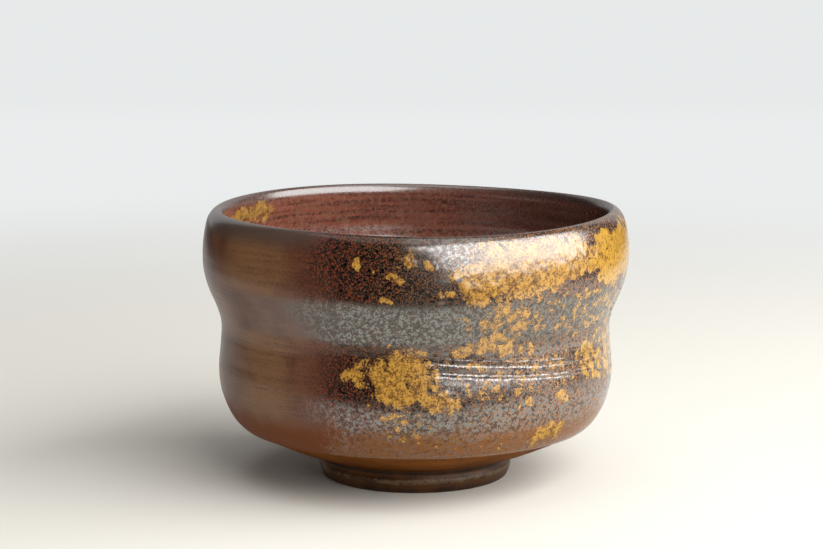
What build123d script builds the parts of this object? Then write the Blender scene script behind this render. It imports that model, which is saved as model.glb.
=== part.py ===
"""A wheel-thrown tea bowl: clay body, luted foot ring, outer and inner glaze, and crusts of ochre ash.

Millimetres, +Z up. The origin is on the bowl's axis, at the surface that the foot stands on.
"""
from build123d import *
from math import cos, pi, radians, sin
from typing import NamedTuple
import os

# Overall sizes.
bowl_height = 80.0
shoulder_diameter = 126.0

# Outer line of the wall. Drops are measured down from the lip or belly, insets in from the shoulder or
# belly, and leans, in degrees, away from the vertical.
lip_inset = 4.6
lip_side_inset = 1.9
lip_side_drop = 2.0
lip_side_lean = 32.0
rim_turn_inset = 0.9
rim_turn_drop = 4.9
rim_turn_lean = 12.5
shoulder_drop = 13.8
neck_fullness = 0.45
neck_lean = 24.0
waist_diameter = 115.2
waist_height = 45.2
belly_diameter = 116.9
belly_height = 32.6
heel_top_inset = 1.1
heel_top_drop = 7.4
heel_top_lean = 17.5
heel_inset = 3.5
heel_drop = 12.9
heel_lean = 31.0
trim_inset = 6.9
trim_drop = 16.6
trim_lean = 56.0
underside_rise = 22.0
underside_bow = 6.0

# Thicknesses, each over the whole wall, from glaze to glaze.
lip_thickness = 4.3
shoulder_wall = 4.6
waist_wall = 4.9
belly_wall = 5.3
heel_wall = 7.0
glaze_thickness = 0.35
ash_thickness = 0.30

# Inside of the bowl. The pool is the shallow dip in which the last of the tea gathers.
lip_inner_drop = 3.0
lip_inner_lean = 8.0
floor_height = 13.6
floor_rise = 9.0
pool_depth = 1.0
pool_radius = 21.0

# Foot ring, luted under the flat base of the body.
foot_height = 6.8
foot_diameter = 57.6
foot_cove = 0.6
foot_cove_lean = 30.0
foot_ridge_inset = 0.15
foot_ridge_height = 3.7
foot_taper = 1.25
foot_taper_lean = 18.0
foot_width = 6.0
foot_inner_taper = 0.8
foot_edge = 0.7
base_nub_radius = 7.0
base_nub_height = 1.3


def heading_vector(heading):
    """The direction of a heading in the profile, where 0 is outward and 90 is up."""
    return (cos(radians(heading)), sin(radians(heading)))


class Station(NamedTuple):
    """A point of an outline and the heading, in degrees, that the outline has there."""

    radius: float
    height: float
    heading: float

    def moved(self, distance):
        """The same station, moved to the left of its heading."""
        side = radians(self.heading + 90.0)
        return Station(self.radius + distance * cos(side), self.height + distance * sin(side), self.heading)

    def point(self):
        """The station's place in the profile, as radius and height."""
        return (self.radius, self.height)

    def tangent(self):
        """The station's heading as a direction in the profile."""
        return heading_vector(self.heading)


# Headings of an outline that runs down the wall.
OUTWARD = 0.0
DOWN = -90.0
INWARD = -180.0

shoulder_radius = shoulder_diameter / 2
waist_radius = waist_diameter / 2
belly_radius = belly_diameter / 2
lip_radius = shoulder_radius - lip_inset
shoulder_height = bowl_height - shoulder_drop
neck_radius = (shoulder_radius + waist_radius) / 2 + neck_fullness
neck_height = (shoulder_height + waist_height) / 2


def outer_stations():
    """The glazed outside, from the crest of the lip down to the line where trimming begins."""
    return [
        Station(lip_radius, bowl_height, OUTWARD),
        Station(shoulder_radius - lip_side_inset, bowl_height - lip_side_drop, DOWN + lip_side_lean),
        Station(shoulder_radius - rim_turn_inset, bowl_height - rim_turn_drop, DOWN + rim_turn_lean),
        Station(shoulder_radius, shoulder_height, DOWN),
        Station(neck_radius, neck_height, DOWN - neck_lean),
        Station(waist_radius, waist_height, DOWN),
        Station(belly_radius, belly_height, DOWN),
        Station(belly_radius - heel_top_inset, belly_height - heel_top_drop, DOWN - heel_top_lean),
        Station(belly_radius - heel_inset, belly_height - heel_drop, DOWN - heel_lean),
        Station(belly_radius - trim_inset, belly_height - trim_drop, DOWN - trim_lean),
    ]


def inner_stations():
    """The glazed inside, from the crest of the lip down to the middle of the floor."""
    crest, lip_side, _, shoulder, neck, waist, belly, _, heel, _ = outer_stations()
    neck_wall = (shoulder_wall + waist_wall) / 2
    return [
        Station(crest.radius, crest.height, INWARD),
        Station(lip_side.radius - lip_thickness, bowl_height - lip_inner_drop, DOWN + lip_inner_lean),
        shoulder.moved(-shoulder_wall),
        neck.moved(-neck_wall),
        waist.moved(-waist_wall),
        belly.moved(-belly_wall),
        heel.moved(-heel_wall),
        Station(pool_radius, floor_height, INWARD + floor_rise),
        Station(0.0, floor_height - pool_depth, INWARD),
    ]


def outline(stations, offset=0.0):
    """A smooth line through stations, each moved to the left by offset."""
    moved = [station.moved(offset) for station in stations]
    if stations[-1].radius == 0.0:
        moved[-1] = moved[-1]._replace(radius=0.0)
    points = [station.point() for station in moved]
    return Spline(points, tangents=[station.tangent() for station in moved])


def turned(profile):
    """The solid that a profile of radius and height makes when it turns about the bowl's axis."""
    return revolve(Plane.XZ * profile, axis=Axis.Z)


def layer(stations, inner_offset, outer_offset):
    """A coat of even thickness that follows an outline."""
    under = outline(stations, inner_offset)
    over = outline(stations, outer_offset)
    return turned(make_face([under, Line(under @ 1, over @ 1), over, Line(over @ 0, under @ 0)]))


def clay_body():
    """The thrown wall and floor, with a flat base for the foot ring and a trimmed underside."""
    outside = outline(outer_stations(), -glaze_thickness)
    inside = outline(inner_stations(), glaze_thickness)
    seat_edge = (foot_diameter / 2, foot_height)
    underside = Spline(
        [outside @ 1, seat_edge],
        tangents=[
            heading_vector(INWARD + underside_rise + underside_bow),
            heading_vector(INWARD + underside_rise - underside_bow),
        ],
    )
    nub_edge = (base_nub_radius, foot_height)
    nub_tip = (0.0, foot_height - base_nub_height)
    base = Line(seat_edge, nub_edge)
    nub = Spline([nub_edge, nub_tip], tangents=[heading_vector(INWARD), heading_vector(INWARD)])
    axis_line = Line(nub_tip, inside @ 1)
    return turned(make_face([outside, underside, base, nub, axis_line, inside]))


def outer_glaze():
    """The coat outside, which ends in a step at the trim line."""
    return layer(outer_stations(), -glaze_thickness, 0.0)


def inner_glaze():
    """The lining, which meets the outer coat at the crest of the lip."""
    return layer(inner_stations(), 0.0, glaze_thickness)


def foot_ring():
    """The ring that the bowl stands on, with a cove under the body, a soft ridge and a taper below it."""
    top = foot_diameter / 2
    inner_bottom = top - foot_width
    outer_side = outline(
        [
            Station(top, foot_height, DOWN - foot_cove_lean),
            Station(top - foot_cove, (foot_height + foot_ridge_height) / 2, DOWN),
            Station(top - foot_ridge_inset, foot_ridge_height, DOWN),
            Station(top - foot_taper, 0.0, DOWN - foot_taper_lean),
        ]
    )
    sole = Line(outer_side @ 1, (inner_bottom, 0.0))
    inner_side = Line(sole @ 1, (inner_bottom - foot_inner_taper, foot_height))
    seat = Line(inner_side @ 1, outer_side @ 0)
    profile = make_face([outer_side, sole, inner_side, seat])
    return turned(fillet(profile.vertices().group_by(Axis.Y)[0], foot_edge))


class Crust(NamedTuple):
    """One patch of thick ash: where its middle lies, how far it reaches, and how much its edge wanders."""

    azimuth: float
    height: float
    half_width: float
    half_height: float
    wander: float


def outer_crusts():
    """The patches of ash outside. Azimuth 0 faces -Y and grows towards +X."""
    return [
        Crust(49.0, shoulder_height + 3.4, 36.0, 7.6, 0.07),
        Crust(20.0, neck_height + 0.2, 8.5, 3.4, 0.16),
        Crust(17.0, waist_height + 1.6, 12.5, 2.0, 0.12),
        Crust(-8.0, belly_height + 5.2, 12.5, 8.0, 0.10),
        Crust(63.0, belly_height + 8.4, 13.0, 7.2, 0.12),
        Crust(43.0, belly_height - 11.0, 5.6, 3.6, 0.16),
        Crust(-4.0, shoulder_height + 7.4, 2.4, 2.2, 0.16),
        Crust(4.5, shoulder_height + 5.4, 1.5, 1.3, 0.16),
        Crust(44.0, belly_height - 1.6, 3.0, 1.2, 0.16),
    ]


def inner_crusts():
    """The patches of ash that fell inside the lip, on the far wall."""
    return [
        Crust(-128.0, bowl_height - 4.6, 11.0, 1.7, 0.14),
        Crust(-104.0, bowl_height - 5.6, 4.2, 1.1, 0.16),
    ]


def crust_outline(crust):
    """A closed wandering line round a crust, on the plane that faces its azimuth."""
    lobes, ripples, count = 3, 5, 16
    line = []
    for step in range(count):
        angle = 2 * pi * step / count
        wave = sin(lobes * angle + crust.azimuth) + 0.5 * sin(ripples * angle + crust.half_width)
        swing = 1.0 + crust.wander * wave
        line.append((crust.half_width * swing * cos(angle), crust.half_height * swing * sin(angle)))
    return Spline(line, periodic=True)


def crusted(coat, crusts):
    """The parts of a coat that lie under the crusts, each one its own solid."""
    solids = []
    for crust in crusts:
        facing = radians(crust.azimuth)
        face_plane = Plane(
            origin=(0, 0, crust.height),
            x_dir=(cos(facing), sin(facing), 0),
            z_dir=(sin(facing), -cos(facing), 0),
        )
        cutter = extrude(face_plane * make_face(crust_outline(crust)), amount=shoulder_diameter)
        solids += (coat & cutter).solids()
    return Compound(children=solids)


def ochre_ash():
    """The crusts of ash that lie on the outer glaze."""
    return crusted(layer(outer_stations(), 0.0, ash_thickness), outer_crusts())


def lip_ash():
    """The crusts of ash that lie on the lining, just below the lip."""
    return crusted(layer(inner_stations(), -ash_thickness, 0.0), inner_crusts())


def main():
    """Writes one STEP file for each piece."""
    os.makedirs("parts", exist_ok=True)
    pieces = {
        "clay_body": clay_body(),
        "foot_ring": foot_ring(),
        "outer_glaze": outer_glaze(),
        "inner_glaze": inner_glaze(),
        "ochre_ash": ochre_ash(),
        "lip_ash": lip_ash(),
    }
    for name, piece in pieces.items():
        export_step(piece, f"parts/{name}.step")


main()
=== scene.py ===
"""A wood-fired tea bowl: clay, foot ring, glaze outside and in, and crusts of ochre ash.

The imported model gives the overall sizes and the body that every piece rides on. Sizes in the classes are in
millimetres, measured from the surface that the bowl stands on, and azimuths are in degrees from the front,
towards +X.
"""

from __future__ import annotations

import logging
from dataclasses import dataclass
from enum import Enum
from functools import reduce
from itertools import pairwise
from math import atan2, cos, degrees, exp, hypot, pi, radians, sin
from typing import Any, Callable, Mapping, NamedTuple, Sequence

import bmesh
import bpy
from mathutils import Euler, Matrix, Vector, noise
from mathutils.geometry import interpolate_bezier

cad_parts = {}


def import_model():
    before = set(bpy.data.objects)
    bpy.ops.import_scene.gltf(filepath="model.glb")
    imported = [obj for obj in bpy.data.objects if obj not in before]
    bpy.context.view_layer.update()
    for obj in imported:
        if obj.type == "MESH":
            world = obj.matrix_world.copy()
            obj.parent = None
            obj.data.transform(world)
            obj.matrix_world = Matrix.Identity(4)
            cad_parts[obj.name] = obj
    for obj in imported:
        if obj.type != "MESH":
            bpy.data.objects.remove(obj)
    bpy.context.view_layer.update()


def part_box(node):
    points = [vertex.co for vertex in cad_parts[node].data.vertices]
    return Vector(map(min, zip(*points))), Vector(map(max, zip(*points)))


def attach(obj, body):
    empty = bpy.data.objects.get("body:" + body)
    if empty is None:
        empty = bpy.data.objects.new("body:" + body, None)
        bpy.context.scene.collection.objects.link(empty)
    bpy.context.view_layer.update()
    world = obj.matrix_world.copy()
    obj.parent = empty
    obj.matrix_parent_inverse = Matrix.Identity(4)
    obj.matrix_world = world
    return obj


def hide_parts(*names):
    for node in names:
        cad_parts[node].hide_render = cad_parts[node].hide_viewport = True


MM = 0.001
BODY = "root"
OUTWARD, DOWN, INWARD, UP = 0.0, -90.0, -180.0, -270.0
UP_AXIS = Vector((0.0, 0.0, 1.0))
CREASE = radians(38.0)

log = logging.getLogger("tea_bowl")


def eased(value: float, low: float, high: float) -> float:
    """Runs smoothly from 0 to 1 while value runs from low to high.

    Args:
        value: Where to read the curve.
        low: Below this the result is 0.
        high: Above this the result is 1.

    Returns:
        A number from 0 to 1.
    """
    share = min(max((value - low) / (high - low), 0.0), 1.0)
    return share * share * (3.0 - 2.0 * share)


class Span(NamedTuple):
    """A stretch of a scale: a share rises over its first two places and falls over its last two."""

    rise_start: float
    rise_end: float
    fall_start: float
    fall_end: float


def within(value: float, span: Span) -> float:
    """How far inside a span a value lies, from 0 to 1."""
    return eased(value, *span[:2]) * (1.0 - eased(value, *span[2:]))


def azimuth_of(place: Vector) -> float:
    """The azimuth of a place."""
    return degrees(atan2(place.x, -place.y))


class Station(NamedTuple):
    """A point of an outline, in millimetres, and the heading in degrees that the outline has there."""

    radius: float
    height: float
    heading: float

    def moved(self, distance: float) -> Station:
        """The same station, moved to the left of its heading."""
        side = radians(self.heading + 90.0)
        radius = self.radius + distance * cos(side) if self.radius else 0.0
        return Station(radius, self.height + distance * sin(side), self.heading)

    def point(self) -> Vector:
        """The station's place on the +X side of the bowl, in metres."""
        return Vector((self.radius * MM, 0.0, self.height * MM))

    def towards(self) -> Vector:
        """The station's heading as a direction."""
        return Vector((cos(radians(self.heading)), 0.0, sin(radians(self.heading))))


def outline(stations: Sequence[Station], offset: float, spacing: float) -> list[Vector]:
    """A smooth line through stations.

    Args:
        stations: The stations, in order.
        offset: How far each station is first moved to its left, in millimetres.
        spacing: About how far apart the points are, in millimetres.

    Returns:
        The points, in metres, with both ends.
    """
    moved = [station.moved(offset) for station in stations]
    points: list[Vector] = []
    for start, end in pairwise(moved):
        chord = (end.point() - start.point()).length
        count = max(3, round(chord / MM / spacing) + 1)
        first_handle = start.point() + start.towards() * chord / 3
        last_handle = end.point() - end.towards() * chord / 3
        points += interpolate_bezier(start.point(), first_handle, last_handle, end.point(), count)[:-1]
    return points + [moved[-1].point()]


class Turn(NamedTuple):
    """Where an outline turns: how far in and down from its widest place, and how far it leans out there."""

    inset: float
    drop: float
    lean: float

    def station(self, radius: float, height: float) -> Station:
        """The station that lies so far from a radius and a height."""
        return Station(radius - self.inset, height - self.drop, DOWN + self.lean)


@dataclass(frozen=True)
class BowlSizes:
    """The bowl's sizes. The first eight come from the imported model."""

    height: float
    shoulder_radius: float
    trim_height: float
    foot_height: float
    foot_radius: float
    glaze: float
    pool_height: float
    nub_height: float
    lip_inset: float = 4.6
    lip_side: Turn = Turn(1.9, 2.0, 32.0)
    rim_turn: Turn = Turn(0.9, 4.9, 12.5)
    shoulder_drop: float = 13.8
    neck_fullness: float = 0.45
    neck_lean: float = 24.0
    waist_radius: float = 57.6
    waist_height: float = 45.2
    belly_radius: float = 58.45
    heel_top: Turn = Turn(1.1, 7.4, -17.5)
    heel: Turn = Turn(3.5, 12.9, -31.0)
    trim: Turn = Turn(6.9, 16.6, -56.0)
    underside_rise: float = 22.0
    underside_bow: float = 6.0
    lip_thickness: float = 4.3
    lip_inner_drop: float = 3.0
    lip_inner_lean: float = 8.0
    shoulder_wall: float = 4.6
    waist_wall: float = 4.9
    belly_wall: float = 5.3
    heel_wall: float = 7.0
    floor_rise: float = 9.0
    pool_depth: float = 1.0
    pool_radius: float = 21.0
    nub_radius: float = 7.0

    @classmethod
    def from_frame(cls) -> BowlSizes:
        """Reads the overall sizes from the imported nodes."""
        outer_low, outer_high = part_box("outer_glaze")
        inner_low, inner_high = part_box("inner_glaze")
        clay_low, clay_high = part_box("clay_body")
        _, foot_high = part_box("foot_ring")
        glaze = outer_high.x - clay_high.x
        return cls(
            height=inner_high.z / MM,
            shoulder_radius=outer_high.x / MM,
            trim_height=outer_low.z / MM,
            foot_height=foot_high.z / MM,
            foot_radius=foot_high.x / MM,
            glaze=glaze / MM,
            pool_height=(inner_low.z + glaze) / MM,
            nub_height=clay_low.z / MM,
        )

    def outside(self) -> list[Station]:
        """The glazed outside, from the crest of the lip down to the trim line."""
        shoulder, belly = self.shoulder_radius, self.belly_radius
        shoulder_height = self.height - self.shoulder_drop
        belly_height = self.trim_height + self.trim.drop
        neck_radius = (shoulder + self.waist_radius) / 2 + self.neck_fullness
        neck_height = (shoulder_height + self.waist_height) / 2
        return [
            Station(shoulder - self.lip_inset, self.height, OUTWARD),
            self.lip_side.station(shoulder, self.height),
            self.rim_turn.station(shoulder, self.height),
            Station(shoulder, shoulder_height, DOWN),
            Station(neck_radius, neck_height, DOWN - self.neck_lean),
            Station(self.waist_radius, self.waist_height, DOWN),
            Station(belly, belly_height, DOWN),
            self.heel_top.station(belly, belly_height),
            self.heel.station(belly, belly_height),
            self.trim.station(belly, belly_height),
        ]

    def inside(self) -> list[Station]:
        """The lining, from the crest of the lip down to the middle of the floor."""
        crest, lip_side, _, shoulder, neck, waist, belly, _, heel, _ = self.outside()
        lip_inner = (lip_side.radius - self.lip_thickness, self.height - self.lip_inner_drop)
        return [
            crest._replace(heading=INWARD),
            Station(*lip_inner, DOWN + self.lip_inner_lean),
            shoulder.moved(-self.shoulder_wall),
            neck.moved(-(self.shoulder_wall + self.waist_wall) / 2),
            waist.moved(-self.waist_wall),
            belly.moved(-self.belly_wall),
            heel.moved(-self.heel_wall),
            Station(self.pool_radius, self.pool_height + self.pool_depth, INWARD + self.floor_rise),
            Station(0.0, self.pool_height, INWARD),
        ]

    def underside(self) -> list[Station]:
        """The bare, trimmed underside, from the trim line in to the foot ring."""
        edge = self.outside()[-1].moved(-self.glaze)
        return [
            edge._replace(heading=INWARD + self.underside_rise + self.underside_bow),
            Station(self.foot_radius, self.foot_height, INWARD + self.underside_rise - self.underside_bow),
        ]


@dataclass(frozen=True)
class Wave:
    """A swell that runs round the bowl: how many crests it has, its size, and where a crest lies."""

    crests: int
    size: float
    azimuth: float

    def at(self, azimuth: float) -> float:
        """The wave's height at an azimuth."""
        return self.size * cos(radians(self.crests * (azimuth - self.azimuth)))


@dataclass(frozen=True)
class Groove:
    """A line that the throwing rib left: its height, half width and depth, in millimetres."""

    height: float
    half_width: float
    depth: float

    def at(self, height: float) -> float:
        """How far the groove draws the surface in at a height."""
        return -self.depth * exp(-(((height - self.height) / self.half_width) ** 2))


@dataclass(frozen=True)
class Ripple:
    """An uneven swell: its depth and its length up the wall, and how much it changes round the wall."""

    depth: float
    length: float
    change: float
    start: float = 0.0

    def at(self, azimuth: float, height: float) -> float:
        """How far the ripple raises the surface at a place."""
        turn = radians(azimuth)
        across, along = self.change * cos(turn), self.change * sin(turn) + self.start
        return self.depth * noise.noise(Vector((across, along, height / self.length)))


@dataclass(frozen=True)
class Hand:
    """How the potter's hand leaves the turned form slightly uneven. Every piece of the bowl follows it.

    The grooves are crisp near sharp_azimuth, where the cosine of the angle to it passes sharp_reach, and
    elsewhere they keep the share that blunt gives.
    """

    lip_waves: tuple[Wave, ...] = (Wave(1, 0.15, -60.0), Wave(2, 0.30, 80.0), Wave(3, 0.30, 85.0))
    wall_waves: tuple[Wave, ...] = (Wave(2, 0.10, 35.0), Wave(3, 0.09, -20.0), Wave(5, 0.04, 10.0))
    wave_foot: float = 14.0
    wave_lip: float = 78.0
    ring_tilt: float = 5.0
    ring_low_azimuth: float = 110.0
    grooves: tuple[Groove, ...] = (
        Groove(43.15, 0.17, 0.095),
        Groove(40.70, 0.16, 0.080),
        Groove(39.70, 0.17, 0.095),
        Groove(44.80, 0.16, 0.045),
        Groove(47.50, 0.18, 0.055),
        Groove(49.60, 0.40, 0.035),
        Groove(27.60, 0.40, 0.040),
    )
    sharp_azimuth: float = 26.0
    sharp_reach: tuple[float, float] = (0.64, 0.92)
    blunt: float = 0.12
    outer_ripples: tuple[Ripple, ...] = (Ripple(0.040, 2.6, 1.0), Ripple(0.060, 5.5, 0.0, 3.7))
    outer_rings: Span = Span(16.0, 19.0, 74.0, 78.5)
    spiral_depth: float = 0.050
    spiral_pitch: float = 4.2
    inner_ripple: Ripple = Ripple(0.060, 2.2, 1.5)
    inner_rings: Span = Span(19.0, 27.0, 73.0, 78.0)

    def settled(self, place: Vector) -> Vector:
        """Moves a point of the true turned form to where the hand left it.

        Args:
            place: A point of the turned form, in metres.

        Returns:
            The point on the bowl, in metres.
        """
        azimuth, height = azimuth_of(place), place.z / MM
        share = eased(height, self.wave_foot, self.wave_lip)
        lift = share * sum(wave.at(azimuth) for wave in self.lip_waves)
        swell = share * sum(wave.at(azimuth) for wave in self.wall_waves)
        radius = hypot(place.x, place.y)
        stretch = 1.0 + swell * MM / radius if radius > MM else 1.0
        return Vector((place.x * stretch, place.y * stretch, place.z + lift * MM))

    def ring_height(self, azimuth: float, height: float) -> float:
        """The height of a point as the tilted throwing rings count it."""
        return height + self.ring_tilt * cos(radians(azimuth - self.ring_low_azimuth))

    def outer_relief(self, azimuth: float, height: float) -> float:
        """How far the throwing rings raise the outer surface, in millimetres."""
        ring = self.ring_height(azimuth, height)
        sharp = eased(cos(radians(azimuth - self.sharp_azimuth)), *self.sharp_reach)
        cut = sum(groove.at(ring) for groove in self.grooves) * (self.blunt + (1.0 - self.blunt) * sharp)
        swell = sum(ripple.at(azimuth, ring) for ripple in self.outer_ripples)
        return (cut + swell) * within(height, self.outer_rings)

    def inner_relief(self, azimuth: float, height: float) -> float:
        """How far the throwing spiral raises the lining, in millimetres."""
        turns = height / self.spiral_pitch - azimuth / 360.0
        spiral = self.spiral_depth * cos(2.0 * pi * turns)
        return (spiral + self.inner_ripple.at(azimuth, height)) * within(height, self.inner_rings)


FALL_CORE, FALL_EDGE = 0.50, 1.20


@dataclass(frozen=True)
class AshFall:
    """Where ash fell: the middle, how far it reaches in degrees and millimetres, and how thickly it lies."""

    azimuth: float
    height: float
    half_width: float
    half_height: float
    amount: float

    def at(self, azimuth: float, height: float) -> float:
        """How thickly the ash lies at a place, from 0 to 1."""
        across = (azimuth - self.azimuth) / self.half_width
        along = (height - self.height) / self.half_height
        return self.amount * (1.0 - eased(hypot(across, along), FALL_CORE, FALL_EDGE))


OUTER_FALLS = (
    AshFall(76.0, 70.5, 28.0, 9.5, 1.00),
    AshFall(62.0, 69.5, 13.0, 10.5, 1.00),
    AshFall(34.0, 70.5, 24.0, 11.5, 1.00),
    AshFall(18.0, 67.5, 9.5, 8.0, 0.98),
    AshFall(24.0, 56.0, 14.0, 8.5, 0.70),
    AshFall(20.0, 48.0, 15.0, 3.0, 0.90),
    AshFall(-3.5, 39.5, 13.5, 10.0, 0.88),
    AshFall(7.0, 34.0, 7.0, 4.0, 0.85),
    AshFall(-15.0, 41.0, 7.0, 6.0, 0.62),
    AshFall(-3.0, 26.0, 11.0, 6.0, 0.50),
    AshFall(68.0, 40.5, 21.0, 10.0, 0.70),
    AshFall(43.0, 21.8, 7.0, 3.4, 0.92),
    AshFall(41.0, 17.8, 4.0, 2.2, 0.60),
    AshFall(-3.0, 73.8, 3.4, 2.6, 0.95),
    AshFall(4.2, 71.8, 2.2, 1.7, 0.85),
    AshFall(-5.0, 69.0, 2.0, 1.7, 0.80),
    AshFall(-7.0, 63.0, 1.8, 1.5, 0.80),
    AshFall(7.0, 63.6, 2.2, 1.6, 0.80),
    AshFall(-13.0, 72.0, 1.6, 1.4, 0.70),
    AshFall(33.0, 32.0, 3.6, 1.8, 0.80),
    AshFall(45.0, 32.0, 3.2, 1.8, 0.80),
    AshFall(32.0, 39.5, 32.0, 9.0, 0.42),
    AshFall(60.0, 55.0, 30.0, 9.0, 0.50),
    AshFall(32.0, 23.0, 50.0, 8.0, 0.24),
)

BARE_SPOTS = (
    AshFall(47.0, 64.5, 8.0, 2.4, 0.66),
    AshFall(53.0, 67.0, 3.0, 1.6, 0.60),
    AshFall(38.0, 63.0, 4.0, 2.0, 0.40),
    AshFall(57.0, 79.5, 6.0, 1.8, 0.80),
    AshFall(22.0, 79.8, 34.0, 1.4, 0.60),
)

LIP_FALLS = (
    AshFall(-122.0, 75.8, 8.0, 2.4, 0.85),
    AshFall(-110.0, 74.6, 11.0, 3.2, 0.95),
    AshFall(-116.0, 72.5, 20.0, 4.0, 0.45),
)


class Side(Enum):
    """The side of the wall that a coat or a crust lies on. Its value is the way out from the axis."""

    OUTSIDE = 1
    INSIDE = -1


Relief = Callable[[float, float], float]


def closed_ring(front: Sequence[Vector], back: Sequence[Vector], steps: int) -> bmesh.types.BMesh:
    """Turns a closed outline about the bowl's axis.

    Args:
        front: The line that shows, from its first end to its last.
        back: The line that closes it, running back to the first end.
        steps: How many faces there are round the turn.

    Returns:
        The turned shell. Its "front" layer holds 1 on the points of the line that shows.
    """
    shell = bmesh.new()
    showing = shell.verts.layers.float.new("front")
    points = [shell.verts.new(point) for point in (*front, *back)]
    for index, point in enumerate(points):
        point[showing] = 1.0 if index < len(front) else 0.0
    on_axis = bool(back) and abs(front[-1].x) < 1e-9
    rim = list(pairwise([*points, points[0]]))
    if on_axis:
        rim.remove((points[len(front) - 1], points[len(front)]))
    for pair in rim:
        shell.edges.new(pair)
    turn_about_axis(shell, 2 * pi, steps)
    bmesh.ops.recalc_face_normals(shell, faces=shell.faces)
    return shell


def turn_about_axis(shell: bmesh.types.BMesh, angle: float, steps: int, sectors: int = 16) -> None:
    """Turns a line about the bowl's axis: one sector is spun, and its copies are joined to it.

    Args:
        shell: A shell that holds the line alone.
        angle: The whole turn, in radians.
        steps: How many faces there are over the turn, a multiple of sectors.
        sectors: How many sectors there are.
    """
    step = angle / sectors
    line = [*shell.verts, *shell.edges]
    bmesh.ops.spin(shell, geom=line, cent=(0, 0, 0), axis=UP_AXIS, angle=step, steps=steps // sectors)
    sector = [*shell.verts, *shell.edges, *shell.faces]
    for index in range(1, sectors):
        copy = bmesh.ops.duplicate(shell, geom=sector)["geom"]
        verts = [part for part in copy if isinstance(part, bmesh.types.BMVert)]
        turn = Euler((0.0, 0.0, step * index)).to_matrix()
        bmesh.ops.rotate(shell, verts=verts, cent=(0, 0, 0), matrix=turn)
    bmesh.ops.remove_doubles(shell, verts=shell.verts, dist=1e-6)


def placed(name: str, data: bpy.types.ID) -> bpy.types.Object:
    """An object of some data, linked to the scene."""
    made = bpy.data.objects.new(name, data)
    bpy.context.scene.collection.objects.link(made)
    return made


def meshed(shell: bmesh.types.BMesh, name: str, material: bpy.types.Material) -> bpy.types.Object:
    """An object of a shell and its finish. The shell is freed."""
    mesh = bpy.data.meshes.new(name)
    shell.to_mesh(mesh)
    shell.free()
    mesh.materials.append(material)
    return placed(name, mesh)


def finished_piece(
    shell: bmesh.types.BMesh, name: str, material: bpy.types.Material, node: str
) -> bpy.types.Object:
    """Makes an object of a shell, dresses it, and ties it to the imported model.

    Args:
        shell: The shape, which is freed.
        name: The piece's name.
        material: Its finish.
        node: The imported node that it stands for.

    Returns:
        The piece.
    """
    shell.normal_update()
    for face in shell.faces:
        face.smooth = True
    for edge in shell.edges:
        edge.smooth = edge.calc_face_angle(0.0) < CREASE
    piece = meshed(shell, name, material)
    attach(piece, BODY)
    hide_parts(node)
    log.info("%s: %d faces, in place of %s", name, len(piece.data.polygons), node)
    return piece


def maths(operation: str, reflected: bool = False) -> Callable[..., Wire]:
    """A method that adds one Math node.

    Args:
        operation: The node's operation.
        reflected: Whether the other value comes first, as in 1 - wire.

    Returns:
        The method. It takes the other value where the operation has one, and returns the result.
    """

    def method(wire: Wire, *others: Wire | float) -> Wire:
        """Adds the node."""
        values = (*others, wire) if reflected else (wire, *others)
        return wire.board.node("ShaderNodeMath", {"operation": operation}, dict(enumerate(values)))

    return method


class Wire:
    """A socket of a node tree that adds, multiplies and compares like a number."""

    __add__ = __radd__ = maths("ADD")
    __mul__ = __rmul__ = maths("MULTIPLY")
    __sub__ = maths("SUBTRACT")
    __rsub__ = maths("SUBTRACT", reflected=True)
    __truediv__ = maths("DIVIDE")
    most = maths("MAXIMUM")
    root = maths("SQRT")
    angle_to = maths("ARCTAN2")

    def __init__(self, board: Board, socket: bpy.types.NodeSocket) -> None:
        """Holds a socket and the board that it belongs to."""
        self.board = board
        self.socket = socket

    def eased(self, low: float, high: float) -> Wire:
        """Runs smoothly from 0 to 1 while this runs from low to high."""
        inputs = {"Value": self, "From Min": low, "From Max": high}
        return self.board.node("ShaderNodeMapRange", {"interpolation_type": "SMOOTHSTEP"}, inputs)

    def within(self, span: Span) -> Wire:
        """How far inside a span this lies, from 0 to 1."""
        return self.eased(*span[:2]) * (1.0 - self.eased(*span[2:]))


Colour = tuple[float, float, float]
LINE_STRETCH = 25.0
WANDER_SIZE, WANDER_ROUND, WANDER_UP = 6.25, 12.0, 7.0


class Grains(NamedTuple):
    """Three cloudy noises of one size that don't follow one another, each about 0.5."""

    first: Wire
    second: Wire
    third: Wire


class Board:
    """A node tree being made."""

    def __init__(self, tree: bpy.types.NodeTree) -> None:
        """Starts from an emptied tree."""
        self.tree = tree
        tree.nodes.clear()

    def node(
        self,
        kind: str,
        settings: Mapping[str, Any],
        inputs: Mapping[str | int, Any],
        output: str | int = 0,
    ) -> Wire:
        """Adds a node.

        Args:
            kind: The node's type.
            settings: Its settings, which are set first.
            inputs: The value or the wire of each socket, by name or place.
            output: The socket that is wanted.

        Returns:
            That output.
        """
        made = self.tree.nodes.new(kind)
        for name, value in settings.items():
            setattr(made, name, value)
        for name, value in inputs.items():
            socket = made.inputs[name]
            if isinstance(value, Wire):
                self.tree.links.new(value.socket, socket)
            elif isinstance(value, tuple) and socket.type == "RGBA":
                socket.default_value = (*value, 1.0)
            else:
                socket.default_value = value
        return Wire(self, made.outputs[output])

    def mixed(self, share: Wire | float, one: Wire | Colour, other: Wire | Colour) -> Wire:
        """One colour where share is 0, the other where it is 1."""
        inputs = {"Factor": share, 6: one, 7: other}
        return self.node("ShaderNodeMix", {"data_type": "RGBA"}, inputs, 2)

    def close(self, kind: str, shader: Wire) -> None:
        """Ends the tree with an output node of that type."""
        end = self.tree.nodes.new(kind)
        self.tree.links.new(shader.socket, end.inputs["Surface"])


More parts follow.
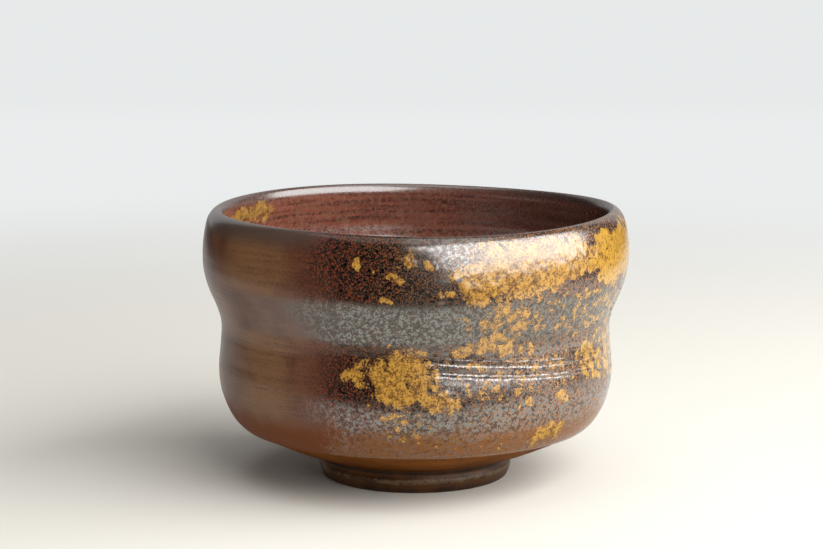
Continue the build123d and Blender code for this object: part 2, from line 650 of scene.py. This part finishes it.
class Bench(Board):
    """A material being made, with the coordinates that the finishes share."""

    def __init__(self, name: str) -> None:
        """Starts an empty material of that name."""
        self.material = bpy.data.materials.new(name)
        self.material.use_nodes = True
        super().__init__(self.material.node_tree)
        self.spot = self.scaled(self.node("ShaderNodeTexCoord", {}, {}, "Object"), 1 / MM)
        x, y, z = (self.node("ShaderNodeSeparateXYZ", {}, {"Vector": self.spot}, axis) for axis in "XYZ")
        self.across = x
        self.height = z
        self.radius = (x * x + y * y).root()
        self.azimuth = x.angle_to(y * -1.0) * degrees(1.0)

    def scaled(self, vector: Wire, size: float | tuple[float, float, float]) -> Wire:
        """A vector times a number, or times three numbers."""
        if isinstance(size, tuple):
            return self.node("ShaderNodeVectorMath", {"operation": "MULTIPLY"}, {0: vector, 1: size})
        return self.node("ShaderNodeVectorMath", {"operation": "SCALE"}, {0: vector, "Scale": size})

    def clouds(self, place: Wire, detail: float, output: str | int = 0) -> Wire:
        """Cloudy noise about 0.5, whose lumps are about 1 across on the scale of place."""
        inputs = {"Vector": place, "Scale": 1.0, "Detail": detail}
        return self.node("ShaderNodeTexNoise", {}, inputs, output)

    def grain(self, size: float, detail: float = 2.0) -> Wire:
        """Cloudy noise whose lumps are about size millimetres across."""
        return self.clouds(self.scaled(self.spot, 1 / size), detail)

    def grains(self, size: float, detail: float) -> Grains:
        """Three such noises of one size, from one node."""
        colour = self.clouds(self.scaled(self.spot, 1 / size), detail, "Color")
        return Grains(*(self.node("ShaderNodeSeparateColor", {}, {0: colour}, index) for index in range(3)))

    def throwing_lines(self, size: float) -> Wire:
        """Cloudy noise drawn out level, in lines about size millimetres apart."""
        length = LINE_STRETCH * size
        return self.clouds(self.scaled(self.spot, (1 / length, 1 / length, 1 / size)), 2.0)

    def tool_lines(self, size: float) -> Wire:
        """Noise in rings round the axis, about size millimetres apart."""
        inputs = {"X": self.radius * (1 / size), "Y": self.height * (1 / size), "Z": 0.0}
        return self.clouds(self.node("ShaderNodeCombineXYZ", {}, inputs), 2.0)

    def puffs(self, size: float) -> Wire:
        """Soft round puffs about size millimetres across: 0 in their middles, about 0.5 between them."""
        place = self.scaled(self.spot, 1 / size)
        inputs = {"Vector": place, "Scale": 1.0, "Smoothness": 0.6}
        return self.node("ShaderNodeTexVoronoi", {"feature": "SMOOTH_F1"}, inputs)

    def bumped(self, height: Wire, depth: float) -> Wire:
        """A normal bent by a height of 0 to 1 that stands for depth millimetres."""
        return self.node("ShaderNodeBump", {}, {"Height": height, "Distance": depth * MM, "Strength": 1.0})

    def ash_level(self, falls: Sequence[AshFall], bare: Sequence[AshFall]) -> Wire:
        """How thickly ash lies, from 0 to 1, less the bare spots."""
        sway, rise, _ = self.grains(WANDER_SIZE, 1.0)
        azimuth = self.azimuth + (sway - 0.5) * WANDER_ROUND
        height = self.height + (rise - 0.5) * WANDER_UP
        level = reduce(Wire.most, [self.fall(fall, azimuth, height) for fall in falls])
        if not bare:
            return level
        return level - reduce(Wire.most, [self.fall(fall, azimuth, height) for fall in bare])

    def fall(self, fall: AshFall, azimuth: Wire, height: Wire) -> Wire:
        """One fall's own thickness."""
        across = (azimuth - fall.azimuth) * (1 / fall.half_width)
        along = (height - fall.height) * (1 / fall.half_height)
        reach = (across * across + along * along).root()
        return (1.0 - reach.eased(FALL_CORE, FALL_EDGE)) * fall.amount

    def surface(self, **sockets: Any) -> bpy.types.Material:
        """Closes the material with one shader.

        Args:
            sockets: The shader's sockets, by name with underscores for spaces.

        Returns:
            The material.
        """
        inputs = {name.replace("_", " "): value for name, value in sockets.items()}
        self.close("ShaderNodeOutputMaterial", self.node("ShaderNodeBsdfPrincipled", {}, inputs))
        return self.material


@dataclass(frozen=True)
class OchreAsh:
    """Melted ash: grains of ochre that lie close in the middle of a fall and scatter at its edge.

    The crusts' own edge wanders by the tatters, each a share of the wandering and a size in millimetres.
    """

    falls: Sequence[AshFall]
    bare: Sequence[AshFall] = ()
    golden: Colour = (0.43, 0.232, 0.026)
    bright: Colour = (0.42, 0.220, 0.033)
    middle: Colour = (0.145, 0.064, 0.011)
    brown: Colour = (0.075, 0.027, 0.009)
    golden_side: tuple[float, float] = (44.0, 60.0)
    crust_edge: float = 0.60
    tatters: tuple[tuple[float, float], ...] = ((0.225, 2.4), (0.180, 1.05), (0.1125, 0.6))

    def depth_at(self, place: Vector) -> float:
        """How far a place lies inside the ragged edge of a crust.

        Args:
            place: The place, in metres.

        Returns:
            A number that is above 0 inside the crust and below 0 outside it.
        """
        spot = place / MM
        azimuth = azimuth_of(place) + 5.0 * noise.noise(spot / 7.0)
        height = spot.z + 3.0 * noise.noise(spot / 7.0 + Vector((31.0, 0.0, 0.0)))
        level = max(fall.at(azimuth, height) for fall in self.falls)
        level -= max((fall.at(azimuth, height) for fall in self.bare), default=0.0)
        return level - self.crust_edge + sum(part * noise.noise(spot / size) for part, size in self.tatters)

    def laid(self, bench: Bench, fine: Grains, coarse: Grains, extra: float) -> tuple[Wire, Wire]:
        """Lays the ash on a surface.

        Args:
            bench: The material being made.
            fine: Grains of the finest size.
            coarse: Grains about twice as large.
            extra: How much more ash there is than the falls say, where it forms a crust.

        Returns:
            The ash's share of the surface, and its colour.
        """
        blob, puff = bench.grains(2.8, 1.0), 0.5 - bench.puffs(2.7)
        level = bench.ash_level(self.falls, self.bare)
        ragged = (blob.first - 0.5) * 1.3 + puff * 1.1
        ragged = ragged + (coarse.second - 0.5) * 0.8 + (fine.second - 0.5) * 1.3
        ragged = ragged * level.eased(0.0, 0.25) * (1.0 - level.eased(0.60, 1.0) * 0.45)
        depth = level * 1.15 - 0.17 + extra + ragged
        tone = fine.third * 0.50 + coarse.third * 0.35 + (0.5 + puff) * 0.15
        ochre = bench.mixed(tone.eased(0.40, 0.59), self.middle, self.bright)
        golden = (bench.azimuth + (blob.second - 0.5) * 40.0).eased(*self.golden_side)
        ochre = bench.mixed(golden * tone.eased(0.34, 0.52), ochre, self.golden)
        thin = 1.0 - (depth + (fine.third - 0.5) * 1.2).eased(0.50, 0.85)
        ochre = bench.mixed(thin, ochre, self.middle)
        gaps = 1.0 - (fine.third * 0.45 + coarse.second * 0.55).eased(0.36, 0.49)
        ochre = bench.mixed(gaps * 0.75, ochre, self.brown)
        return depth.eased(0.43, 0.68), ochre


OUTER_ASH = OchreAsh(OUTER_FALLS, BARE_SPOTS)
LIP_ASH = OchreAsh(LIP_FALLS)
# Painted sheen: the lip crest's dark grey stands in for the grey that the crest reflects from the pale
# backdrop above.
CREST_SHEEN: Colour = (0.062, 0.044, 0.036)


class Firing(NamedTuple):
    """What the kiln left on the outside: its grain, and where the neck, the heel and the flame lie."""

    fine: Grains
    coarse: Grains
    cloud: Grains
    lines: Wire
    azimuth: Wire
    neck: Wire
    low: Wire
    reach: Wire
    flame: Wire


@dataclass(frozen=True)
class IronGlaze:
    """The skin outside: smooth red-brown in the lee, iron specks where the flame passed, and ochre ash.

    extra is how much more ash there is than the falls say, where it forms a crust.
    """

    name: str
    extra: float = 0.0
    lee_band: Colour = (0.160, 0.076, 0.029)
    lee: Colour = (0.110, 0.042, 0.019)
    lee_dark: Colour = (0.062, 0.019, 0.009)
    heel: Colour = (0.116, 0.030, 0.005)
    red: Colour = (0.150, 0.027, 0.010)
    umber: Colour = (0.122, 0.050, 0.016)
    rust: Colour = (0.260, 0.098, 0.030)
    black: Colour = (0.012, 0.007, 0.005)
    # The flakes' two colours: iron is painted reflection where they face the softbox or the white table,
    # iron_dark where they don't.
    iron: Colour = (0.205, 0.216, 0.206)
    iron_dark: Colour = (0.055, 0.050, 0.042)
    scale: Colour = (0.045, 0.036, 0.027)
    tan: Colour = (0.166, 0.064, 0.017)
    neck: Span = Span(48.0, 51.0, 60.0, 63.0)
    belt: Span = Span(33.0, 38.0, 45.0, 48.0)
    flame_side: Span = Span(-44.0, -12.0, 100.0, 145.0)
    band_side: Span = Span(-68.0, -50.0, -46.0, -30.0)
    flecked_side: Span = Span(-38.0, -18.0, 130.0, 165.0)
    facing_side: Span = Span(-10.0, 6.0, 100.0, 145.0)

    def firing(self, bench: Bench) -> Firing:
        """Works out what the kiln did where."""
        fine, coarse, cloud = bench.grains(0.52, 2.5), bench.grains(1.20, 1.5), bench.grains(8.0, 1.0)
        neck = bench.height.within(self.neck)
        low = 1.0 - (bench.height + (cloud.first - 0.5) * 6.0).eased(21.0, 28.0)
        azimuth = bench.azimuth + (cloud.second - 0.5) * 12.0
        reach = (azimuth + neck * 7.0 - low * 4.0).eased(*self.flame_side[:2])
        reach = reach * (1.0 - azimuth.eased(*self.flame_side[2:]))
        flame = reach * 1.4 - 0.30 + (fine.first - 0.5) * 1.0 + (coarse.first - 0.5) * 0.6
        lines = bench.throwing_lines(0.7)
        return Firing(fine, coarse, cloud, lines, azimuth, neck, low, reach, flame.eased(0.02, 0.95))

    def lee_skin(self, bench: Bench, kiln: Firing) -> Wire:
        """The colour where the flame didn't reach."""
        fine, lines = kiln.fine.second, kiln.lines
        tone = (lines * 0.25 + fine * 0.30 + kiln.cloud.third * 0.45).eased(0.38, 0.60)
        skin = bench.mixed(tone, self.lee_dark, self.lee)
        band = kiln.azimuth.within(self.band_side) * (1.0 - kiln.neck)
        skin = bench.mixed(band * (lines * 0.4 + fine * 0.6).eased(0.20, 0.60), skin, self.lee_band)
        # Painted sheen: the lip turns dark grey towards its crest.
        skin = bench.mixed(bench.height.eased(73.0, 79.0) * 0.85, skin, CREST_SHEEN)
        return bench.mixed(kiln.low, skin, self.heel)

    def flame_skin(self, bench: Bench, kiln: Firing) -> Wire:
        """The colour under the iron specks, where the flame passed."""
        aside = kiln.azimuth + (kiln.coarse.third - 0.5) * 60.0
        skin = bench.mixed(aside.eased(-26.0, 4.0), self.red, self.umber)
        skin = bench.mixed(aside.eased(4.0, 34.0), skin, self.rust)
        grain = kiln.fine.second * 0.6 + kiln.coarse.first * 0.4
        skin = bench.mixed(grain.eased(0.44, 0.54), self.black, skin)
        return bench.mixed(kiln.neck * 0.75, skin, self.scale)

    def made(self) -> bpy.types.Material:
        """Makes the material."""
        bench = Bench(self.name)
        kiln = self.firing(bench)
        fine, coarse, lines, azimuth = kiln.fine, kiln.coarse, kiln.lines, kiln.azimuth
        height, neck, low, flame = bench.height, kiln.neck, kiln.low, kiln.flame

        skin = bench.mixed(flame, self.lee_skin(bench, kiln), self.flame_skin(bench, kiln))
        dust = low * flame * ((coarse.third * 0.5 + fine.third * 0.5).eased(0.40, 0.54) * 0.55 + 0.45)
        skin = bench.mixed(dust, skin, self.tan)

        share, ochre = OUTER_ASH.laid(bench, fine, coarse, self.extra)
        speck = (fine.first * 0.55 + coarse.first * 0.45).eased(0.47, 0.58)
        flecked, facing = azimuth.within(self.flecked_side), azimuth.within(self.facing_side)
        iron = speck * flame * flecked * (1.0 - share) * (1.0 - dust)
        belt = height.within(self.belt)
        turned_down = neck.most(1.0 - height.eased(31.0, 36.0))
        # Painted reflection: the flakes take the pale iron colour where they face the softbox, most on the
        # belt, and where the neck and heel turn down to the white table; elsewhere they stay dark.
        pale = (facing * (belt * 0.4 + 0.5)).most(turned_down)
        flakes_and_sheen = bench.mixed(pale, self.iron_dark, self.iron)
        colour = bench.mixed(share, bench.mixed(iron, skin, flakes_and_sheen), ochre)

        wet = height.eased(70.0, 75.0).most(belt) * facing * 0.20
        wet = wet + height.eased(73.0, 78.0) * (1.0 - kiln.reach) * 0.50
        wet = wet + neck * (1.0 - flecked) * azimuth.eased(-60.0, -40.0) * 0.30
        coat = kiln.reach * (facing.most(turned_down * 0.7) * 0.38 - 0.12) + share * 0.22 + wet + 0.22
        rough = 0.34 - flame * 0.11 + share * 0.10 + low * (1.0 - flame) * 0.16
        grit = (fine.first * 0.6 + fine.third * 0.4) * (0.35 + flame * 0.65) + lines * (1.0 - flame) * 2.2
        return bench.surface(
            Base_Color=colour,
            Metallic=iron,
            Roughness=rough + (kiln.cloud.first - 0.5) * 0.10,
            Normal=bench.bumped(grit * (1.0 - share * 0.3) + coarse.third * share * 2.2, 0.030),
            IOR=1.26,
            Coat_Weight=coat * (1.0 - low),
            Coat_Roughness=0.225,
            Coat_IOR=2.05,
        )


@dataclass(frozen=True)
class LiningGlaze:
    """The lining: glossy red-brown with a fine olive mottle, faint rings and a little ash at the lip, with
    painted shade towards +X and a painted grey sheen at the crest.
    """

    name: str
    extra: float = 0.0
    red: Colour = (0.215, 0.064, 0.040)
    olive: Colour = (0.175, 0.092, 0.048)
    # dark is the streaks' colour and also the colour of the painted shade on the +X side.
    dark: Colour = (0.055, 0.015, 0.010)

    def made(self) -> bpy.types.Material:
        """Makes the material."""
        bench = Bench(self.name)
        fine, coarse, lines = bench.grains(0.45, 1.0), bench.grains(1.3, 1.0), bench.throwing_lines(0.9)
        mottle = coarse.first * 0.45 + fine.first * 0.35 + bench.grain(6.0) * 0.20
        streak = lines * 0.5 + coarse.third * 0.2 + fine.third * 0.3
        colour = bench.mixed(streak.eased(0.36, 0.58), self.dark, self.red)
        colour = bench.mixed(mottle.eased(0.42, 0.64) * 0.55, colour, self.olive)
        # Painted shade: the lining darkens towards +X, where the wall on that side keeps the light off it.
        colour = bench.mixed(bench.across.eased(4.0, 48.0) * 0.85, colour, self.dark)
        # Painted sheen: the lining turns dark grey towards the crest.
        colour = bench.mixed(bench.height.eased(76.0, 79.5) * 0.85, colour, CREST_SHEEN)
        share, ochre = LIP_ASH.laid(bench, fine, coarse, self.extra)
        return bench.surface(
            Base_Color=bench.mixed(share, colour, ochre),
            Roughness=0.22 + mottle.eased(0.44, 0.58) * 0.08 + share * 0.10,
            Normal=bench.bumped(fine.first * 0.4 + lines * 0.6, 0.030),
            IOR=2.05,
        )


@dataclass(frozen=True)
class BareClay:
    """The underside's bare fired clay: satin, with the trimming tool's lines, and painted shade that darkens
    it towards the foot.
    """

    light: Colour = (0.165, 0.055, 0.006)
    dark: Colour = (0.085, 0.024, 0.002)
    # The colour of the painted shade near the foot ring.
    foot_shade: Colour = (0.048, 0.012, 0.002)

    def made(self) -> bpy.types.Material:
        """Makes the material."""
        bench = Bench("bare_clay")
        lines, fine = bench.tool_lines(0.7), bench.grain(0.6, 3.0)
        tone = lines * 0.35 + fine * 0.30 + bench.grain(12.0, 2.0) * 0.35
        colour = bench.mixed(tone.eased(0.38, 0.62), self.dark, self.light)
        # Painted shade: the underside darkens towards the foot ring, in the hollow under the bowl.
        shade_near_foot = 1.0 - (bench.radius + (tone - 0.5) * 12.0).eased(27.0, 47.0)
        return bench.surface(
            Base_Color=bench.mixed(shade_near_foot * 0.85, colour, self.foot_shade),
            Roughness=0.60 + (fine - 0.5) * 0.2,
            Normal=bench.bumped(lines * 0.6 + fine * 0.4, 0.05),
            IOR=1.17,
            Specular_IOR_Level=0.20,
        )


@dataclass(frozen=True)
class FootClay:
    """The foot ring's fired clay: dark and satin, with tool lines and a painted highlight along its ridge."""

    light: Colour = (0.058, 0.021, 0.005)
    dark: Colour = (0.017, 0.007, 0.003)
    ridge_highlight: Colour = (0.115, 0.074, 0.040)
    ridge_height: float = 3.6
    ridge_reach: float = 1.0

    def made(self) -> bpy.types.Material:
        """Makes the material."""
        bench = Bench("foot_clay")
        lines, fine, cloud = bench.tool_lines(0.8), bench.grain(0.5, 3.0), bench.grains(7.0, 2.0)
        tone = lines * 0.40 + fine * 0.25 + cloud.first * 0.35
        colour = bench.mixed(tone.eased(0.42, 0.60), self.dark, self.light)
        # Painted highlight: a pale band along the ridge, where its face tilts up towards the light.
        above = (bench.height + (cloud.third - 0.5) * 1.6 - self.ridge_height) / self.ridge_reach
        ridge = (1.0 - above * above).eased(0.0, 1.0) * (fine * 0.5 + cloud.second * 0.5).eased(0.42, 0.58)
        return bench.surface(
            Base_Color=bench.mixed(ridge * 0.8, colour, self.ridge_highlight),
            Roughness=0.42 + (fine - 0.5) * 0.2,
            Normal=bench.bumped(lines * 0.6 + fine * 0.4, 0.06),
            IOR=1.30,
        )


class Ridges(NamedTuple):
    """The soft ridges of a trimming tool, and how close the points are that show them, in millimetres."""

    depth: float
    pitch: float
    spacing: float


@dataclass
class Bowl:
    """The bowl: clay, foot ring and both glazes, all turned about one axis."""

    sizes: BowlSizes
    hand: Hand
    steps: int = 384
    bare_steps: int = 192
    hidden_spacing: float = 2.4
    groove_spacing: float = 0.11
    outer_spacing: float = 0.60
    inner_spacing: float = 0.62
    grooved_from: float = 37.2
    grooved_to: float = 48.6
    nub_cove: float = 2.0
    underside_ridges: Ridges = Ridges(0.07, 1.3, 0.30)
    base_ridges: Ridges = Ridges(0.06, 1.9, 0.45)
    foot_ridges: Ridges = Ridges(0.035, 0.9, 0.22)

    def clay_body(self) -> bpy.types.Object:
        """The thrown wall and floor, with the bare underside, the base inside the foot and its nub."""
        sizes = self.sizes
        wall = outline(sizes.outside(), -sizes.glaze, self.hidden_spacing)
        underside = self.tooled(sizes.underside(), self.underside_ridges)
        nub = [
            Station(sizes.foot_radius, sizes.foot_height, INWARD),
            Station(sizes.nub_radius + self.nub_cove, sizes.foot_height, INWARD),
            Station(0.0, sizes.nub_height, INWARD),
        ]
        base = self.tooled(nub, self.base_ridges)
        lining = outline(sizes.inside(), sizes.glaze, self.hidden_spacing)
        shell = closed_ring([*wall, *underside[1:], *base[1:]], lining[::-1], self.bare_steps)
        self.settle(shell)
        return finished_piece(shell, "clay_body_turned", BareClay().made(), "clay_body")

    def foot_ring(self) -> bpy.types.Object:
        """The ring that the bowl stands on, with its cove, ridge and taper."""
        section = FootSizes().stations(self.sizes.foot_radius, self.sizes.foot_height)
        shell = closed_ring(self.tooled(section, self.foot_ridges), [], self.bare_steps)
        return finished_piece(shell, "foot_ring_turned", FootClay().made(), "foot_ring")

    def outer_glaze(self) -> bpy.types.Object:
        """The skin outside, from the crest of the lip to the line where trimming began."""
        back = outline(self.sizes.outside(), -self.sizes.glaze, self.hidden_spacing)
        shell = self.coat(self.outer_line(), back, self.hand.outer_relief, Side.OUTSIDE)
        finish = IronGlaze("iron_glaze").made()
        return finished_piece(shell, "outer_glaze_skin", finish, "outer_glaze")

    def outer_line(self) -> list[Vector]:
        """The outside line, with closer points where the sharp grooves lie."""
        fine = outline(self.sizes.outside(), 0.0, self.groove_spacing)
        line = [fine[0]]
        for point in fine[1:-1]:
            grooved = self.grooved_from < point.z / MM < self.grooved_to
            spacing = self.groove_spacing if grooved else self.outer_spacing
            if (point - line[-1]).length >= spacing * MM * 0.98:
                line.append(point)
        return [*line, fine[-1]]

    def inner_glaze(self) -> bpy.types.Object:
        """The lining, from the crest of the lip to the pool in the floor."""
        front = outline(self.sizes.inside(), 0.0, self.inner_spacing)
        back = outline(self.sizes.inside(), self.sizes.glaze, self.hidden_spacing)
        shell = self.coat(front, back, self.hand.inner_relief, Side.INSIDE)
        finish = LiningGlaze("lining_glaze").made()
        return finished_piece(shell, "inner_glaze_lining", finish, "inner_glaze")

    def coat(self, front: list[Vector], back: list[Vector], relief: Relief, side: Side) -> bmesh.types.BMesh:
        """Turns a coat of glaze and raises its relief.

        Args:
            front: The line that shows, from the lip down.
            back: The line against the clay, from the lip down.
            relief: How far the surface is raised.
            side: The side of the wall that the coat is on.

        Returns:
            The coat's shell.
        """
        shell = closed_ring(front, back[::-1], self.steps)
        showing = shell.verts.layers.float["front"]
        for vert in shell.verts:
            radius = hypot(vert.co.x, vert.co.y)
            if vert[showing] < 0.5 or radius < MM:
                continue
            rise = relief(azimuth_of(vert.co), vert.co.z / MM) * side.value * MM
            vert.co.x *= 1.0 + rise / radius
            vert.co.y *= 1.0 + rise / radius
        self.settle(shell)
        return shell

    def tooled(self, stations: Sequence[Station], ridges: Ridges) -> list[Vector]:
        """A line through stations, with the soft ridges of a trimming tool.

        Args:
            stations: The stations, in order.
            ridges: The tool's ridges.

        Returns:
            The line, with its ends where they were and no point below the sole.
        """
        line = outline(stations, 0.0, ridges.spacing)
        cut = [line[0]]
        travelled = 0.0
        for before, point, after in zip(line, line[1:], line[2:]):
            travelled += (point - before).length / MM
            along = (after - before).normalized()
            side = Vector((-along.z, 0.0, along.x))
            ridge = noise.noise(Vector((travelled / ridges.pitch, ridges.depth * 40.0, 0.0)))
            place = point + side * ridge * ridges.depth * MM
            place.z = max(place.z, 0.0)
            cut.append(place)
        return [*cut, line[-1]]

    def settle(self, shell: bmesh.types.BMesh) -> None:
        """Moves every point of a shell to where the potter's hand left it."""
        for vert in shell.verts:
            vert.co = self.hand.settled(vert.co)


@dataclass(frozen=True)
class FootSizes:
    """The foot ring's section, in millimetres."""

    cove: float = 0.6
    cove_lean: float = 30.0
    ridge_inset: float = 0.15
    ridge_height: float = 3.7
    taper: float = 1.25
    taper_lean: float = 18.0
    width: float = 6.0
    inner_taper: float = 0.8
    edge: float = 0.7

    def stations(self, top: float, height: float) -> list[Station]:
        """The section's line, from the top outside, round the sole, to the top inside."""
        inner = top - self.width
        return [
            Station(top, height, DOWN - self.cove_lean),
            Station(top - self.cove, (height + self.ridge_height) / 2, DOWN),
            Station(top - self.ridge_inset, self.ridge_height, DOWN),
            Station(top - self.taper + self.edge * 0.3, self.edge, DOWN - self.taper_lean),
            Station(top - self.taper - self.edge, 0.0, INWARD),
            Station(inner + self.edge, 0.0, INWARD),
            Station(inner, self.edge, UP),
            Station(inner - self.inner_taper, height, UP),
        ]


@dataclass
class AshCrust:
    """Crusts of ash on one side of the wall: closed islands whose feet dip under the coat beneath them."""

    sizes: BowlSizes
    hand: Hand
    side: Side
    ash: OchreAsh
    finish: bpy.types.Material
    first_azimuth: float
    last_azimuth: float
    lowest: float
    highest: float
    spacing: float = 0.36
    rise: float = 0.13
    film: float = 0.012
    cut: float = -0.16
    body: float = 0.20
    sectors: int = 8

    def build(self, name: str, node: str) -> bpy.types.Object:
        """Makes the crusts.

        Args:
            name: The piece's name.
            node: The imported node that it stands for.

        Returns:
            The piece.
        """
        shell = self.sheet()
        depths = {vert: self.ash.depth_at(vert.co) for vert in shell.verts}
        for vert, depth in depths.items():
            vert.co += vert.normal * self.lift(vert.co, depth) * MM
        bare = [face for face in shell.faces if max(depths[vert] for vert in face.verts) < self.cut]
        bmesh.ops.delete(shell, geom=bare, context="FACES")
        shell.normal_update()
        bmesh.ops.solidify(shell, geom=shell.faces[:], thickness=self.body * MM)
        for vert in shell.verts:
            vert.co = self.hand.settled(vert.co)
        return finished_piece(shell, name, self.finish, node)

    def sheet(self) -> bmesh.types.BMesh:
        """The part of the coat that the falls reach, as an open sheet that faces away from the wall."""
        outside = self.side is Side.OUTSIDE
        stations = self.sizes.outside() if outside else self.sizes.inside()
        line = outline(stations, 0.0, self.spacing)
        line = [point for point in line if self.lowest < point.z / MM < self.highest]
        turn = Euler((0.0, 0.0, radians(self.first_azimuth - 90.0))).to_matrix()
        sheet = bmesh.new()
        for pair in pairwise([sheet.verts.new(turn @ point) for point in line]):
            sheet.edges.new(pair)
        span = radians(self.last_azimuth - self.first_azimuth)
        steps = round(span * self.sizes.shoulder_radius / self.spacing / self.sectors) * self.sectors
        turn_about_axis(sheet, span, steps, self.sectors)
        bmesh.ops.recalc_face_normals(sheet, faces=sheet.faces)
        face = sheet.faces[:][len(sheet.faces) // 2]
        middle = face.calc_center_median()
        if face.normal.dot(Vector((middle.x, middle.y, 0.0))) * self.side.value < 0:
            bmesh.ops.reverse_faces(sheet, faces=sheet.faces)
        sheet.normal_update()
        relief = self.hand.outer_relief if outside else self.hand.inner_relief
        for vert in sheet.verts:
            vert.co += vert.normal * relief(azimuth_of(vert.co), vert.co.z / MM) * MM
        return sheet

    def lift(self, place: Vector, depth: float) -> float:
        """How far the crust stands above its coat, in millimetres. It thins to a film at its edge."""
        lumps = 0.80 + 0.16 * noise.noise(place / MM / 0.9) + 0.26 * noise.noise(place / MM / 2.4)
        return self.film + self.rise * eased(depth, -0.04, 0.50) * lumps


class Ray(Enum):
    """What a light or a stretch of table may be seen by."""

    ALL = 0
    NO_GLOSS = 1


@dataclass(frozen=True)
class SoftLight:
    """A soft light that faces the bowl. Places are in degrees round and above it, and metres from it."""

    name: str
    azimuth: float
    elevation: float
    distance: float
    width: float
    depth: float
    power: float
    seen_by: Ray = Ray.ALL

    def hang(self, aim: Vector) -> None:
        """Adds the light, facing aim."""
        light = bpy.data.lights.new(self.name, "AREA")
        light.shape = "RECTANGLE"
        light.size, light.size_y = self.width, self.depth
        light.energy = self.power
        lamp = placed(self.name, light)
        lamp.visible_camera = False
        lamp.visible_glossy = self.seen_by is Ray.ALL
        turn, above = radians(self.azimuth), radians(self.elevation)
        away = Vector((sin(turn) * cos(above), -cos(turn) * cos(above), sin(above)))
        lamp.location = aim + away * self.distance
        lamp.rotation_euler = away.to_track_quat("Z", "Y").to_euler()


@dataclass
class Studio:
    """The pale table, the soft lights and the camera."""

    camera_distance: float = 0.7139
    camera_height: float = 0.1759
    camera_side: float = -0.0011
    camera_pitch: float = 9.2316
    lens: float = 106.52
    sensor: float = 36.0
    table_reach: float = 6.0
    gloss_near: float = -0.150
    gloss_side: float = 0.34
    melt_start: float = 0.16
    melt_end: float = 0.70
    table_colour: Colour = (0.74, 0.715, 0.65)
    room: Colour = (0.018, 0.018, 0.019)
    horizon: Colour = (0.80, 0.82, 0.82)
    no_light: Colour = (0.0, 0.0, 0.0)
    aim_height: float = 0.04
    lights: tuple[SoftLight, ...] = (
        SoftLight("overhead", 0.0, 88.0, 1.50, 1.4, 1.4, 7.5),
        SoftLight("softbox", 57.0, 31.0, 0.95, 1.80, 1.07, 30.5),
        SoftLight("backdrop", 180.0, 22.0, 1.10, 1.60, 0.90, 2.2),
        SoftLight("left_fill", -80.0, 2.0, 1.20, 1.40, 0.16, 4.5, seen_by=Ray.NO_GLOSS),
    )

    def build(self) -> None:
        """Sets up the table, the room, the lights and the camera."""
        bpy.context.scene.view_settings.view_transform = "Standard"
        self.table()
        self.surroundings()
        for light in self.lights:
            light.hang(Vector((0.0, 0.0, self.aim_height)))
        self.camera()

    def table(self) -> None:
        """A pale table in four stretches: the one under and behind the bowl also shows in its gloss."""
        pale = self.pale_table()
        reach, near, side = self.table_reach, self.gloss_near, self.gloss_side
        stretches = (
            ("table_middle", -side, side, near, reach, Ray.ALL),
            ("table_left", -reach, -side, near, reach, Ray.NO_GLOSS),
            ("table_right", side, reach, near, reach, Ray.NO_GLOSS),
            ("table_front", -reach, reach, -reach, near, Ray.NO_GLOSS),
        )
        for name, left, right, front, back, seen_by in stretches:
            middle = Vector(((left + right) / 2, (front + back) / 2, 0.0))
            matrix = Matrix.LocRotScale(middle, None, Vector((right - left, back - front, 1.0)))
            sheet = bmesh.new()
            bmesh.ops.create_grid(sheet, x_segments=1, y_segments=1, size=0.5, matrix=matrix)
            stretch = meshed(sheet, name, pale)
            stretch.visible_glossy = seen_by is Ray.ALL

    def pale_table(self) -> bpy.types.Material:
        """The table's finish, which melts into the pale backdrop with distance."""
        bench = Bench("pale_table")
        away = (bench.radius * MM).eased(self.melt_start, self.melt_end)
        return bench.surface(
            Base_Color=bench.mixed(away, self.table_colour, self.no_light),
            Roughness=0.8,
            Emission_Color=bench.mixed(away, self.no_light, self.horizon),
            Emission_Strength=1.0,
            IOR=1.3,
        )

    def surroundings(self) -> None:
        """A dim room with a pale backdrop."""
        world = bpy.data.worlds.new("room")
        world.use_nodes = True
        board = Board(world.node_tree)
        seen = board.node("ShaderNodeLightPath", {}, {}, "Is Camera Ray")
        tone = board.mixed(seen, self.room, self.horizon)
        board.close("ShaderNodeOutputWorld", board.node("ShaderNodeBackground", {}, {"Color": tone}))
        bpy.context.scene.world = world

    def camera(self) -> None:
        """The camera, a little above the bowl and in front of it."""
        data = bpy.data.cameras.new("view")
        data.sensor_width = self.sensor
        data.lens = self.lens
        camera = placed("view", data)
        camera.location = (self.camera_side, -self.camera_distance, self.camera_height)
        camera.rotation_euler = Euler((radians(90.0 - self.camera_pitch), 0.0, 0.0))
        bpy.context.scene.camera = camera


def main() -> None:
    """Builds the bowl and its studio."""
    logging.basicConfig(level=logging.INFO, format="%(name)s: %(message)s")
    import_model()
    sizes, hand = BowlSizes.from_frame(), Hand()
    bowl = Bowl(sizes, hand)
    bowl.clay_body()
    bowl.foot_ring()
    bowl.outer_glaze()
    bowl.inner_glaze()
    finish = IronGlaze("ochre_crust", extra=0.04).made()
    crust = AshCrust(sizes, hand, Side.OUTSIDE, OUTER_ASH, finish, -26.0, 112.0, 16.6, 77.6)
    crust.build("ochre_crusts", "ochre_ash")
    finish = LiningGlaze("lip_crust", extra=0.06).made()
    crust = AshCrust(sizes, hand, Side.INSIDE, LIP_ASH, finish, -150.0, -92.0, 68.0, 78.0)
    crust.build("lip_crusts", "lip_ash")
    Studio().build()


if __name__ == "__main__":
    main()
